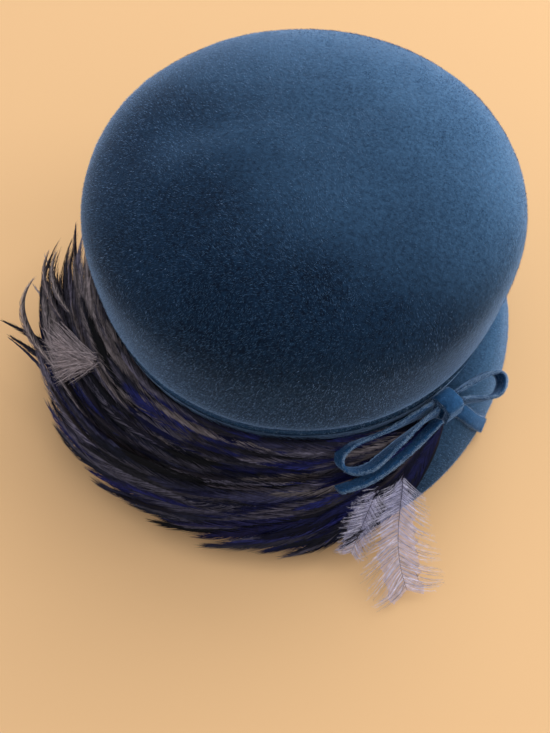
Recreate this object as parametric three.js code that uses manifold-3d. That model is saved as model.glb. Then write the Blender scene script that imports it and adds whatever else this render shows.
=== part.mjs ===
// Felt cloche hat with a felt band, a tied felt bow and a sweep of hackle feathers.
// Millimetres, +Z up. The brim rests on z = 0, the front of the hat looks along -Y,
// and the origin is the centre of the head opening in the plane of the brim's edge.
import * as THREE from "three";
import { mergeVertices } from "three/addons/utils/BufferGeometryUtils.js";
import Module from "manifold-3d";

// Driving dimensions
const HEAD_HALF_WIDTH = 88.3; // inside of the head opening, ear to ear
const HEAD_HALF_LENGTH = 90.0; // inside of the head opening, front to back
const FELT = 2.5; // wall of the crown and the brim
const COLLAR_WALL = 1.8; // upright edge of the brim that is sewn inside the crown
const GAP = 0.3; // clearance between neighbouring pieces
const SEGMENTS = 64; // steps round the hat
const MERGE = 0.02; // slivers smaller than this are closed up where trimmings are cut

const LEDGE_HEIGHT = 25.6; // where the brim leaves the crown
const COLLAR_TOP = 33.5;
const BAND_TOP = 35.0;
const BAND_WALL = 2.0;
const BAND_LEAN = 1.4; // how far the band's top edge stands off the crown
const CROWN_WIDEST = 73.2;
const CROWN_TOP = 119.4;
const CROWN_PINCH = 0.95; // size of the crown behind the band, against its widest
const DOME_POWER = 2.41; // 2 is a true ellipse, more is squarer at the shoulder

const BRIM_SIDE = 111; // from the middle to the brim's edge
const BRIM_FRONT = 136;
const BRIM_BACK = 116;
const RIM_FLAT = 2.7; // width of the cut edge that rests on the table

const BOW_STRIP = 8.0; // width of the felt strip of the bow
const BOW_WALL = 1.6;
const KNOT_TURN = -41.3; // degrees round the hat from +X

// Profile of the crown between its hem and its widest height
const CROWN_WALL = [
  { height: 26.6, spread: CROWN_PINCH },
  { height: 33.0, spread: CROWN_PINCH },
  { height: 39.0, spread: 0.979 },
  { height: 52.0, spread: 0.994 },
  { height: CROWN_WIDEST, spread: 1.0 },
];
const DOME_ANGLES = [9, 20, 33, 48, 64, 79]; // degrees up the dome's rounding, rim to top

// Shallow dents in the crown, lying along a direction given in degrees
const DENTS = [
  { x: -48, y: -8, along: 45, halfLength: 26, halfWidth: 13, depth: 3.6 },
  { x: 20, y: -30, along: 10, halfLength: 42, halfWidth: 34, depth: 1.2 },
];

// Profile of the brim from its ledge (out 0) to its edge (out 1)
const BRIM_PROFILE = [
  { out: 0.35, height: 0.9 },
  { out: 0.6, height: 0.7 },
  { out: 0.8, height: 0.42 },
  { out: 0.93, height: 0.18 },
  { out: 1.0, height: 0.0 },
];

// Routes of the bow's strips by their upper edge: turn in degrees, reach from the middle,
// height, and how far the strip leans from upright (0) towards the brim's slope (1)
const LEAN = new THREE.Vector3(0.589, -0.612, 0.528);
const LEFT_LOOP = [
  { turn: -44.3, reach: 100.6, height: 37.4, lean: 0 },
  { turn: -50.0, reach: 101.0, height: 37.2, lean: 0.05 },
  { turn: -56.6, reach: 102.4, height: 36.0, lean: 0.25 },
  { turn: -62.2, reach: 103.4, height: 34.8, lean: 0.45 },
  { turn: -66.4, reach: 104.8, height: 33.8, lean: 0.6 },
  { turn: -69.2, reach: 107.4, height: 33.0, lean: 0.8 },
  { turn: -70.3, reach: 111.2, height: 32.6, lean: 0.9 },
  { turn: -69.9, reach: 115.2, height: 32.4, lean: 0.9 },
  { turn: -67.6, reach: 117.8, height: 32.4, lean: 0.85 },
  { turn: -64.4, reach: 117.2, height: 32.8, lean: 0.75 },
  { turn: -61.2, reach: 114.6, height: 33.6, lean: 0.7 },
  { turn: -57.4, reach: 111.2, height: 34.6, lean: 0.6 },
  { turn: -52.0, reach: 107.2, height: 36.0, lean: 0.4 },
  { turn: -47.4, reach: 104.8, height: 37.0, lean: 0.2 },
  { turn: -44.4, reach: 104.4, height: 37.4, lean: 0.05 },
];
const RIGHT_LOOP = [
  { turn: -38.2, reach: 103.4, height: 37.6, lean: 0.3 },
  { turn: -34.8, reach: 104.8, height: 38.0, lean: 0.45 },
  { turn: -31.4, reach: 106.6, height: 38.2, lean: 0.5 },
  { turn: -28.2, reach: 108.8, height: 38.2, lean: 0.5 },
  { turn: -26.3, reach: 111.8, height: 38.2, lean: 0.5 },
  { turn: -26.9, reach: 115.0, height: 38.2, lean: 0.5 },
  { turn: -29.4, reach: 117.4, height: 38.0, lean: 0.5 },
  { turn: -31.8, reach: 117.4, height: 37.8, lean: 0.5 },
  { turn: -34.0, reach: 114.0, height: 37.6, lean: 0.4 },
  { turn: -36.4, reach: 109.6, height: 37.6, lean: 0.25 },
  { turn: -38.3, reach: 107.2, height: 37.6, lean: 0.1 },
];
const LEFT_TAIL = [
  { turn: -44.6, reach: 109.0, height: 32.6, lean: 0.75 },
  { turn: -48.6, reach: 110.8, height: 31.0, lean: 0.85 },
  { turn: -54.4, reach: 113.8, height: 29.4, lean: 0.95 },
  { turn: -60.0, reach: 117.4, height: 28.4, lean: 1 },
  { turn: -66.0, reach: 121.0, height: 27.4, lean: 1 },
  { turn: -71.4, reach: 122.4, height: 26.6, lean: 1 },
];
const RIGHT_TAIL = [
  { turn: -36.0, out: 0.26 },
  { turn: -33.2, out: 0.46 },
  { turn: -30.2, out: 0.7 },
  { turn: -26.0, out: 0.94 },
];

// The feathers lie in a bed that sweeps round the front to the left. Across runs from the
// bed's inner edge beside the band (0) to its free outer edge (1).
const BED = [
  { turn: -44, inner: 101.0, innerHeight: 27.0, outer: 112, outerHeight: 22 },
  { turn: -60, inner: 100.5, innerHeight: 27.4, outer: 131, outerHeight: 13 },
  { turn: -76, inner: 100.0, innerHeight: 28.4, outer: 140, outerHeight: 7.6 },
  { turn: -100, inner: 100.0, innerHeight: 29.4, outer: 142, outerHeight: 7.6 },
  { turn: -125, inner: 100.0, innerHeight: 31.0, outer: 141, outerHeight: 12 },
  { turn: -145, inner: 100.0, innerHeight: 36.0, outer: 134, outerHeight: 20 },
  { turn: -162, inner: 99.5, innerHeight: 42.0, outer: 127, outerHeight: 33 },
  { turn: -180, inner: 99.5, innerHeight: 47.0, outer: 110, outerHeight: 44 },
];
const BED_CROWN = 3.0; // how far the bed bulges between its edges
const BACKING = { from: -52.9, to: -139.2, steps: 20, low: 0.13, high: 0.79, lift: 0.7, wall: 1.2 };

// Courses of feathers, each fanned across the bed
const COURSES = [
  { root: -49, sweep: 25, count: 7, rootLow: 0.12, rootHigh: 0.62, tipLow: 0.02, tipHigh: 1.02, width: 8.5 },
  { root: -60, sweep: 31, count: 6, rootLow: 0.1, rootHigh: 0.72, tipLow: 0.05, tipHigh: 0.98, width: 9.5 },
  { root: -77, sweep: 32, count: 6, rootLow: 0.1, rootHigh: 0.74, tipLow: 0.02, tipHigh: 1.04, width: 9.5 },
  { root: -95, sweep: 32, count: 6, rootLow: 0.1, rootHigh: 0.74, tipLow: 0.06, tipHigh: 1.0, width: 9.5 },
  { root: -111, sweep: 33, count: 6, rootLow: 0.1, rootHigh: 0.74, tipLow: 0.04, tipHigh: 1.06, width: 9.0 },
  { root: -128, sweep: 40, count: 6, rootLow: 0.12, rootHigh: 0.66, tipLow: 0.04, tipHigh: 1.0, width: 8.0 },
];
// Long tips that stand out past the bed at its left end
const SPIKES = [
  { root: -127, rootAcross: 0.55, turn: -156.4, reach: 148, height: 24, width: 5.5 },
  { root: -125, rootAcross: 0.66, turn: -153.5, reach: 146, height: 21, width: 4.5 },
  { root: -133, rootAcross: 0.45, turn: -161.5, reach: 131, height: 32, width: 5.0 },
  { root: -136, rootAcross: 0.38, turn: -168.0, reach: 126, height: 36, width: 5.0 },
  { root: -140, rootAcross: 0.2, turn: -176.5, reach: 113, height: 42, width: 6.0 },
];
const FEATHER_WALL = 1.7;

// Two pale downy feathers that droop over the brim at the front right
const DOWN_FEATHERS = [
  {
    name: "down_feather_long",
    route: [
      { turn: -57.5, reach: 118.0, height: 22.6 },
      { turn: -60.2, reach: 130.0, height: 17.9 },
      { turn: -62.6, reach: 144.0, height: 11.4 },
      { turn: -63.2, reach: 162.0, height: 4.6 },
    ],
    width: 20,
  },
  {
    name: "down_feather_short",
    route: [
      { turn: -63.4, reach: 121.0, height: 22.8 },
      { turn: -67.2, reach: 131.0, height: 16.4 },
      { turn: -70.6, reach: 142.5, height: 7.6 },
    ],
    width: 10,
  },
];
const DOWN_WALL = 0.9;

// Materials, with the colours of the dyed felt and the dyed feathers
const velourFelt = new THREE.MeshStandardMaterial({ color: 0x2f5078, roughness: 0.95, metalness: 0 });
const hackle = new THREE.MeshStandardMaterial({ color: 0x1d1f38, roughness: 0.6, metalness: 0 });
const paleDown = new THREE.MeshStandardMaterial({ color: 0x9a95a8, roughness: 0.8, metalness: 0 });

const wasm = await Module();
wasm.setup();

const radians = THREE.MathUtils.degToRad;
const mix = THREE.MathUtils.lerp;

// A point at a turn round the hat, a reach from the middle and a height
function polar({ turn, reach, height }) {
  const angle = radians(turn);
  return new THREE.Vector3(reach * Math.cos(angle), reach * Math.sin(angle), height);
}

// Reads a table at a place along its first column, easing between its rows
function readTable(table, column, place) {
  const forward = table[table.length - 1][column] > table[0][column];
  const ordered = forward ? table : [...table].reverse();
  const last = ordered.length - 2;
  let row = ordered.findIndex((entry, i) => i <= last && place <= ordered[i + 1][column]);
  if (row < 0) row = last;
  const low = ordered[row];
  const high = ordered[row + 1];
  const share = THREE.MathUtils.clamp((place - low[column]) / (high[column] - low[column]), 0, 1);
  return Object.fromEntries(Object.keys(low).map((key) => [key, mix(low[key], high[key], share)]));
}

// Closed skin through rings of points. A ring of one point is a pole. A looped skin is a
// wall that closes on itself, and any other is capped at its two ends.
function skin(rings, looped = false) {
  const points = [];
  const starts = rings.map((ring) => {
    points.push(...ring);
    return points.length - ring.length;
  });
  const index = [];
  const joinRings = (a, b) => {
    const count = Math.max(rings[a].length, rings[b].length);
    const at = (ring, i) => starts[ring] + (i % rings[ring].length);
    for (let i = 0; i < count; i++) {
      if (rings[a].length > 1) index.push(at(a, i), at(a, i + 1), at(b, i));
      if (rings[b].length > 1) index.push(at(a, i + 1), at(b, i + 1), at(b, i));
    }
  };
  const cap = (ring, flip) => {
    for (let i = 1; i < rings[ring].length - 1; i++) {
      const [second, third] = flip ? [i + 1, i] : [i, i + 1];
      index.push(starts[ring], starts[ring] + second, starts[ring] + third);
    }
  };
  for (let i = 0; i < rings.length - 1; i++) joinRings(i, i + 1);
  if (looped) joinRings(rings.length - 1, 0);
  else {
    cap(0, true);
    cap(rings.length - 1, false);
  }
  const geometry = new THREE.BufferGeometry().setFromPoints(points).setIndex(index);
  return faceOutwards(geometry);
}

// Turns the faces round where the skin came out inside out
function faceOutwards(geometry) {
  const place = geometry.getAttribute("position");
  const corners = [0, 1, 2].map(() => new THREE.Vector3());
  const order = geometry.index.array;
  let volume = 0;
  for (let i = 0; i < order.length; i += 3) {
    corners.forEach((corner, k) => corner.fromBufferAttribute(place, order[i + k]));
    volume += corners[0].dot(corners[1].clone().cross(corners[2]));
  }
  if (volume < 0) order.reverse();
  geometry.computeVertexNormals();
  return geometry;
}

// A solid for cutting and joining, and the geometry that comes back from it
function toSolid(geometry) {
  const bare = new THREE.BufferGeometry();
  bare.setAttribute("position", geometry.getAttribute("position"));
  bare.setIndex(geometry.index);
  const merged = mergeVertices(bare, 1e-4);
  const triVerts = new Uint32Array(merged.index.array);
  const vertProperties = merged.getAttribute("position").array;
  return new wasm.Manifold(new wasm.Mesh({ numProp: 3, vertProperties, triVerts }));
}

function fromSolid(solid) {
  const mesh = solid.getMesh();
  const geometry = new THREE.BufferGeometry();
  geometry.setAttribute("position", new THREE.BufferAttribute(mesh.vertProperties, 3));
  geometry.setIndex(new THREE.BufferAttribute(mesh.triVerts, 1));
  geometry.computeVertexNormals();
  return geometry;
}

// Outlines of the hat from above, as a point at an angle
const turns = Array.from({ length: SEGMENTS }, (_, i) => (i / SEGMENTS) * 2 * Math.PI);
const ring = (pointAt) => turns.map(pointAt);

function headOval(angle, outside, height) {
  const x = (HEAD_HALF_WIDTH + outside) * Math.cos(angle);
  const y = (HEAD_HALF_LENGTH + outside) * Math.sin(angle);
  return new THREE.Vector3(x, y, height);
}

function rimOval(angle, outside, height) {
  const length = Math.sin(angle) < 0 ? BRIM_FRONT : BRIM_BACK;
  const x = (BRIM_SIDE + outside) * Math.cos(angle);
  const y = (length + outside) * Math.sin(angle);
  return new THREE.Vector3(x, y, height);
}

const crownInside = COLLAR_WALL + GAP; // from the head opening to the crown's inner wall at its hem
const crownOutside = crownInside + FELT;
const bandInside = crownOutside + GAP;
const ledgeOutside = bandInside + BAND_WALL + 1.5;

function crownOval(angle, spread, height) {
  const x = ((HEAD_HALF_WIDTH + crownOutside) / CROWN_PINCH) * spread * Math.cos(angle);
  const y = ((HEAD_HALF_LENGTH + crownOutside) / CROWN_PINCH) * spread * Math.sin(angle);
  return new THREE.Vector3(x, y, height);
}

// Lowers a point of the crown where a dent lies
function dented(point) {
  for (const dent of DENTS) {
    const angle = radians(dent.along);
    const x = point.x - dent.x;
    const y = point.y - dent.y;
    const along = (x * Math.cos(angle) + y * Math.sin(angle)) / dent.halfLength;
    const across = (y * Math.cos(angle) - x * Math.sin(angle)) / dent.halfWidth;
    const share = (point.z - CROWN_WIDEST) / (CROWN_TOP - CROWN_WIDEST);
    if (share > 0) point.z -= dent.depth * share * Math.exp(-along * along - across * across);
  }
  return point;
}

// Moves rings along their own normals: a positive distance moves them to the outside
function offsetRings(rings, distance) {
  return rings.map((points, r) => {
    const before = rings[Math.max(r - 1, 0)];
    const after = rings[Math.min(r + 1, rings.length - 1)];
    return points.map((point, i) => {
      const along = after[i].clone().sub(before[i]);
      const next = points[(i + 1) % points.length];
      const last = points[(i + points.length - 1) % points.length];
      const round = next.clone().sub(last);
      return point.clone().addScaledVector(round.cross(along).normalize(), distance);
    });
  });
}

// Crown: a wall that is pinched in behind the band, a rounded dome, and soft dents
function crownRings() {
  const wall = CROWN_WALL.map(({ height, spread }) => ring((a) => crownOval(a, spread, height)));
  for (const angle of DOME_ANGLES.map(radians)) {
    const spread = Math.cos(angle) ** (2 / DOME_POWER);
    const rise = Math.sin(angle) ** (2 / DOME_POWER);
    const height = mix(CROWN_WIDEST, CROWN_TOP, rise);
    wall.push(ring((a) => dented(crownOval(a, spread, height))));
  }
  return wall;
}

function makeCrown() {
  const outside = crownRings();
  const inside = offsetRings(outside, -FELT);
  const pole = dented(new THREE.Vector3(0, 0, CROWN_TOP));
  const underPole = pole.clone().setZ(pole.z - FELT);
  return skin([[underPole], ...inside.reverse(), ...outside, [pole]]);
}

// Brim: a collar inside the crown, a ledge under the band and a bell that turns down.
// Its top is listed from the edge up to the ledge.
function brimTopRings() {
  const ledge = ring((a) => headOval(a, ledgeOutside, LEDGE_HEIGHT));
  const bell = BRIM_PROFILE.map(({ out, height }) =>
    ring((a) => {
      const start = headOval(a, ledgeOutside, 0);
      return start.lerp(rimOval(a, 0, 0), out).setZ(LEDGE_HEIGHT * height);
    }),
  );
  return [...bell.reverse(), ledge];
}

function makeBrim() {
  const top = brimTopRings();
  const under = offsetRings(top, -FELT);
  under[0] = ring((a) => rimOval(a, -RIM_FLAT, 0));
  const collar = (outside, heights) => heights.map((z) => ring((a) => headOval(a, outside, z)));
  const collarOutside = collar(COLLAR_WALL, [LEDGE_HEIGHT + 0.4, COLLAR_TOP]);
  const collarInside = collar(0, [COLLAR_TOP, LEDGE_HEIGHT - FELT]);
  return skin([...top, ...collarOutside, ...collarInside, ...under.reverse()], true);
}

// Band: a felt strip round the crown's base, its top edge standing a little off
function makeBand() {
  const foot = LEDGE_HEIGHT + 0.7;
  return skin(
    [
      ring((a) => headOval(a, bandInside, foot)),
      ring((a) => headOval(a, bandInside + BAND_WALL, foot)),
      ring((a) => headOval(a, bandInside + BAND_WALL + BAND_LEAN, BAND_TOP)),
      ring((a) => headOval(a, bandInside + BAND_LEAN, BAND_TOP)),
    ],
    true,
  );
}

// The whole hat as a filled block, a clearance larger, for cutting the trimmings clear of it
function makeHatBlock(clearance) {
  const brim = offsetRings(brimTopRings(), clearance);
  const band = [LEDGE_HEIGHT, BAND_TOP + clearance].map((z) =>
    ring((a) => headOval(a, bandInside + BAND_WALL + BAND_LEAN + clearance, z + clearance)),
  );
  const crown = offsetRings(crownRings(), clearance).slice(3);
  const foot = ring((a) => rimOval(a, clearance, -1));
  const bottom = new THREE.Vector3(0, 0, -1);
  const top = new THREE.Vector3(0, 0, CROWN_TOP + clearance);
  return toSolid(skin([[bottom], foot, ...brim, ...band, ...crown, [top]]));
}

// A point on the brim's outer face, at a turn in degrees and a share of the way to its edge
function brimPoint(turn, out, lift = 0) {
  const angle = radians(turn);
  const rows = [{ out: 0, height: 1 }, ...BRIM_PROFILE];
  const at = (share, where) => {
    const start = headOval(where, ledgeOutside, 0);
    const height = readTable(rows, "out", share).height * LEDGE_HEIGHT;
    return start.lerp(rimOval(where, 0, 0), share).setZ(height);
  };
  const step = 0.02;
  const along = at(Math.min(out + step, 1), angle).sub(at(Math.max(out - step, 0), angle));
  const round = at(out, angle + step).sub(at(out, angle - step));
  const normal = along.cross(round).normalize();
  return { point: at(out, angle).addScaledVector(normal, lift), normal };
}

// A felt strip between its two edges. A strip that is grown is the space it needs round it.
function makeStrip(upper, lower, steps, grow = 0) {
  const edges = [upper, lower].map((points) => new THREE.CatmullRomCurve3(points, false, "centripetal"));
  const rings = [];
  for (let i = 0; i <= steps; i++) {
    const share = i / steps;
    const [high, low] = edges.map((edge) => edge.getPoint(share));
    const across = high.clone().sub(low).normalize();
    const along = edges[0].getTangent(share).add(edges[1].getTangent(share));
    const thick = along.cross(across).normalize();
    const corner = (edge, way, side) =>
      edge.clone().addScaledVector(across, way * grow).addScaledVector(thick, side * (BOW_WALL / 2 + grow));
    rings.push([corner(high, 1, 1), corner(low, -1, 1), corner(low, -1, -1), corner(high, 1, -1)]);
  }
  return skin(rings);
}

// A loop or a tail that stands on its lower edge, leaning by its table
function makeStanding(rows, steps, grow = 0) {
  const upper = rows.map(polar);
  const lower = rows.map(({ lean }, i) => {
    const stand = new THREE.Vector3(0, 0, 1).lerp(LEAN, lean).normalize();
    return upper[i].clone().addScaledVector(stand, -BOW_STRIP);
  });
  return makeStrip(upper, lower, steps, grow);
}

// The right tail lies flat on the brim
function makeRightTail(block) {
  const laid = RIGHT_TAIL.map(({ turn, out }) => brimPoint(turn, out, GAP + BOW_WALL / 2 + 0.2));
  const sides = [1, -1].map((side) =>
    laid.map(({ point, normal }, i) => {
      const next = laid[Math.min(i + 1, laid.length - 1)].point;
      const last = laid[Math.max(i - 1, 0)].point;
      const across = next.clone().sub(last).cross(normal).normalize();
      return point.clone().addScaledVector(across, side * (BOW_STRIP / 2 - 0.6));
    }),
  );
  return cutClear(toSolid(makeStrip(...sides, 10)), [block]);
}

// Knot: the strip wrapped once round the roots of the loops, an open tube along the band
function makeKnot() {
  const wrap = { reach: 103.9, height: 33.0, innerReach: 7.2, innerHeight: 8.4, length: 8.0, corner: 2.0 };
  const outline = (half, tall, corner, shape) => {
    shape.moveTo(-half + corner, -tall);
    shape.lineTo(half - corner, -tall);
    shape.absarc(half - corner, -tall + corner, corner, -Math.PI / 2, 0, false);
    shape.absarc(half - corner, tall - corner, corner, 0, Math.PI / 2, false);
    shape.absarc(-half + corner, tall - corner, corner, Math.PI / 2, Math.PI, false);
    shape.absarc(-half + corner, -tall + corner, corner, Math.PI, 1.5 * Math.PI, false);
    return shape;
  };
  const half = wrap.innerReach / 2;
  const tall = wrap.innerHeight / 2;
  const face = outline(half + BOW_WALL, tall + BOW_WALL, wrap.corner + 1, new THREE.Shape());
  face.holes.push(outline(half, tall, 1, new THREE.Path()));
  const tube = new THREE.ExtrudeGeometry(face, { depth: wrap.length, bevelEnabled: false, curveSegments: 3 });
  tube.translate(0, 0, -wrap.length / 2);
  const middle = polar({ turn: KNOT_TURN, reach: wrap.reach, height: wrap.height });
  const outward = polar({ turn: KNOT_TURN, reach: 1, height: 0 });
  const up = new THREE.Vector3(0, 0, 1);
  const basis = new THREE.Matrix4().makeBasis(outward, up, outward.clone().cross(up));
  return tube.applyMatrix4(basis.setPosition(middle));
}

// A point of the feather bed
function bedPoint(turn, across) {
  const edge = readTable(BED, "turn", turn);
  const reach = mix(edge.inner, edge.outer, across);
  const bulge = BED_CROWN * Math.sin(Math.PI * THREE.MathUtils.clamp(across, 0, 1));
  return polar({ turn, reach, height: mix(edge.innerHeight, edge.outerHeight, across) + bulge });
}

// One feather: a flat lens along its route that narrows to its root and its tip
function makeFeather(route, width, wall, steps) {
  const curve = new THREE.CatmullRomCurve3(route, false, "centripetal");
  const rings = [];
  for (let i = 1; i < steps; i++) {
    const share = i / steps;
    const middle = curve.getPointAt(share);
    const tangent = curve.getTangentAt(share);
    const outward = middle.clone().setZ(0).normalize().add(new THREE.Vector3(0, 0, 1.2));
    const across = tangent.clone().cross(outward).normalize();
    const thick = across.clone().cross(tangent).normalize();
    const half = (width / 2) * Math.sin(Math.PI * share ** 0.8) ** 0.7;
    const at = (a, t) => middle.clone().addScaledVector(across, a).addScaledVector(thick, t);
    rings.push([at(half, 0), at(0, wall / 2), at(-half, 0), at(0, -wall / 2)]);
  }
  return skin([[route[0]], ...rings, [route[route.length - 1]]]);
}

// Route of a feather from its root in the backing to its tip, over the bed
function courseRoute(root, sweep, rootAcross, tipAcross, lift) {
  const shares = [0, 0.3, 0.65, 1];
  return shares.map((share) => {
    const turn = root - sweep * share;
    const across = mix(rootAcross, tipAcross, share ** 1.2);
    const point = bedPoint(turn, across);
    point.z += lift * (share - 0.5);
    return point;
  });
}

function backingSheet() {
  const rings = [];
  for (let i = 0; i <= BACKING.steps; i++) {
    const turn = mix(BACKING.from, BACKING.to, i / BACKING.steps);
    const corners = [
      [BACKING.low, 0],
      [(BACKING.low + BACKING.high) / 2, 0],
      [BACKING.high, 0],
      [BACKING.high, BACKING.wall],
      [(BACKING.low + BACKING.high) / 2, BACKING.wall],
      [BACKING.low, BACKING.wall],
    ];
    rings.push(
      corners.map(([across, up]) => {
        const point = bedPoint(turn, across);
        return point.setZ(point.z - BACKING.lift + up);
      }),
    );
  }
  return skin(rings);
}

function makeFeatherPad(cutters) {
  let pad = toSolid(backingSheet());
  for (const course of COURSES) {
    for (let i = 0; i < course.count; i++) {
      const share = i / (course.count - 1);
      const stagger = (i % 2) * 4;
      const rootAcross = mix(course.rootLow, course.rootHigh, share);
      const tipAcross = mix(course.tipLow, course.tipHigh, share);
      const route = courseRoute(course.root - stagger, course.sweep, rootAcross, tipAcross, 1.5 + (i % 3));
      pad = pad.add(toSolid(makeFeather(route, course.width, FEATHER_WALL, 4)));
    }
  }
  for (const spike of SPIKES) {
    const start = bedPoint(spike.root, spike.rootAcross);
    const end = polar(spike);
    const middle = bedPoint(mix(spike.root, spike.turn, 0.5), spike.rootAcross + 0.12);
    pad = pad.add(toSolid(makeFeather([start, middle, end], spike.width, FEATHER_WALL, 4)));
  }
  return cutClear(pad, cutters);
}

// Cuts a trimming clear of its neighbours and keeps its largest piece
function cutClear(solid, cutters) {
  const clear = cutters.reduce((rest, cutter) => rest.subtract(cutter), solid).simplify(MERGE);
  const pieces = clear.decompose().sort((a, b) => b.volume() - a.volume());
  return fromSolid(pieces[0]);
}

function makeDownFeather(feather, cutters) {
  const leaf = makeFeather(feather.route.map(polar), feather.width, DOWN_WALL, 7);
  return cutClear(toSolid(leaf), cutters);
}

// The assembly
const hat = new THREE.Group();

function place(name, geometry, material) {
  const mesh = new THREE.Mesh(geometry, material);
  mesh.name = name;
  hat.add(mesh);
}

const block = makeHatBlock(GAP);
place("crown", makeCrown(), velourFelt);
place("brim", makeBrim(), velourFelt);
place("band", makeBand(), velourFelt);
place("bow_knot", makeKnot(), velourFelt);
place("bow_loop_left", makeStanding(LEFT_LOOP, 26), velourFelt);
place("bow_loop_right", makeStanding(RIGHT_LOOP, 22), velourFelt);
place("bow_tail_left", makeStanding(LEFT_TAIL, 12), velourFelt);
place("bow_tail_right", makeRightTail(block), velourFelt);
const bowSpace = [makeStanding(LEFT_TAIL, 12, GAP), makeStanding(LEFT_LOOP, 26, GAP)].map(toSolid);
place("feather_pad", makeFeatherPad([block, ...bowSpace]), hackle);
for (const feather of DOWN_FEATHERS) place(feather.name, makeDownFeather(feather, [block]), paleDown);

export default hat;
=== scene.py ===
import math

import bmesh
import bpy
import numpy as np
from mathutils import Matrix, Vector, noise
from mathutils.bvhtree import BVHTree


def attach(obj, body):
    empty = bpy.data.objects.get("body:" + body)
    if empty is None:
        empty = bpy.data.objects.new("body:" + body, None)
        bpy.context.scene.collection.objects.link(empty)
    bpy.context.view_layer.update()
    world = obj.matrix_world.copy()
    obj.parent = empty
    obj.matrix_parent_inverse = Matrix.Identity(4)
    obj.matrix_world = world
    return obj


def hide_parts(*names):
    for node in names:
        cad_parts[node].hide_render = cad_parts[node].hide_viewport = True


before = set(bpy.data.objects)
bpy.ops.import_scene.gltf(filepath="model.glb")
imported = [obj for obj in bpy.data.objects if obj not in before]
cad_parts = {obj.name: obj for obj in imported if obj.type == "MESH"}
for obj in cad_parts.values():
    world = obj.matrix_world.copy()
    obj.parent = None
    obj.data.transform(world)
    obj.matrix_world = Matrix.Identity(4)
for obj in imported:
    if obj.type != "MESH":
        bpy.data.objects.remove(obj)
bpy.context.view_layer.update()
scene = bpy.context.scene
mm = 0.001
print("stage: frame loaded")


# Helpers for colours, nodes and meshes
def toLinear(code):
    channels = [int(code[i:i + 2], 16) / 255 for i in (0, 2, 4)]
    return [c / 12.92 if c <= 0.04045 else ((c + 0.055) / 1.055) ** 2.4 for c in channels]


def newMaterial(name, surface):
    material = bpy.data.materials.new(name)
    material.use_nodes = True
    shader = material.node_tree.nodes["Principled BSDF"]
    for key, value in surface.items():
        shader.inputs[key].default_value = value
    return material, shader


# Stops are the two ends of a colour ramp
def addNode(material, kind, settings=None, inputs=None, links=None, stops=None):
    node = material.node_tree.nodes.new(kind)
    for key, value in (settings or {}).items():
        setattr(node, key, value)
    for key, value in (inputs or {}).items():
        node.inputs[key].default_value = value
    for key, socket in (links or {}).items():
        material.node_tree.links.new(socket, node.inputs[key])
    if stops:
        for element, (place, code) in zip(node.color_ramp.elements, stops):
            element.position = place
            element.color = (*toLinear(code), 1)
    return node


def plug(material, socket, target):
    material.node_tree.links.new(socket, target)


def newPiece(name, mesh, material):
    piece = bpy.data.objects.new(name, mesh)
    scene.collection.objects.link(piece)
    piece.data.materials.clear()
    piece.data.materials.append(material)
    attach(piece, "root")
    return piece


# Painted sheen: faces that look towards the back right, where the window light falls, are painted paler
paintedSheenSide = {"towards": (0.6, 0.75, 0.28), "begin": 0.06, "range": 0.76}


def paintedSheen(normals):
    return np.clip((normals @ np.array(paintedSheenSide["towards"]) - paintedSheenSide["begin"]) / paintedSheenSide["range"], 0, 1)


# How a CAD felt mesh is softened, with angles in radians; below steadyBelow the rim stays flat on the table
softening = {"merge": 0.01 * mm, "flatAngle": 1.2, "shapeAngle": 2.0, "cutAngle": 0.9, "waveShift": (3.1, 7.7, 1.3),
             "steadyBelow": 6 * mm, "swellAbove": 36 * mm}
crownMiddle = (0, 0, 45 * mm)


# A smooth piece from a CAD node: its mesh in quads, gently uneven, under a subdivision surface
def smoothFromNode(node, name, material, shape):
    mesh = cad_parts[node].data.copy()
    mesh.name = name
    work = bmesh.new()
    work.from_mesh(mesh)
    bmesh.ops.remove_doubles(work, verts=work.verts, dist=softening["merge"])
    bmesh.ops.join_triangles(work, faces=work.faces, angle_face_threshold=softening["flatAngle"],
                             angle_shape_threshold=softening["shapeAngle"])
    work.normal_update()
    for vert in work.verts:
        wave = noise.noise(vert.co / shape["grain"] + Vector(softening["waveShift"]))
        if vert.co.z > softening["steadyBelow"]:
            vert.co += vert.normal * (wave * shape["unevenness"] + shape["puff"])
        outside = (vert.co - Vector(crownMiddle)).dot(vert.normal) > 0
        if outside and vert.co.z > softening["swellAbove"]:
            vert.co += vert.normal * shape["swell"]
    sharp = work.edges.layers.float.new("crease_edge")
    for edge in work.edges:
        if len(edge.link_faces) == 2 and edge.calc_face_angle() > softening["cutAngle"]:
            edge[sharp] = shape["crease"]
    for face in work.faces:
        face.smooth = True
    work.to_mesh(mesh)
    work.free()
    # The painted_sheen attribute holds the painted sheen for each vertex, from its normal
    normals = np.empty(len(mesh.vertices) * 3)
    mesh.vertices.foreach_get("normal", normals)
    mesh.attributes.new("painted_sheen", "FLOAT", "POINT").data.foreach_set("value", paintedSheen(normals.reshape(-1, 3)))
    piece = newPiece(name, mesh, material)
    surface = piece.modifiers.new("smooth", "SUBSURF")
    surface.levels = shape["levels"]
    surface.render_levels = shape["levels"]
    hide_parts(node)
    return piece


def evaluatedTriangles(piece):
    ready = piece.evaluated_get(bpy.context.evaluated_depsgraph_get())
    mesh = ready.to_mesh()
    mesh.calc_loop_triangles()
    points = np.empty(len(mesh.vertices) * 3)
    mesh.vertices.foreach_get("co", points)
    corners = np.empty(len(mesh.loop_triangles) * 3, int)
    mesh.loop_triangles.foreach_get("vertices", corners)
    normals = np.empty(len(mesh.vertices) * 3)
    mesh.vertices.foreach_get("normal", normals)
    ready.to_mesh_clear()
    return points.reshape(-1, 3), corners.reshape(-1, 3), normals.reshape(-1, 3)


def unit(vectors):
    return vectors / np.maximum(np.linalg.norm(vectors, axis=-1, keepdims=True), 1e-12)


floorClearance = 0.05 * mm  # no hair dips into the table


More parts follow.
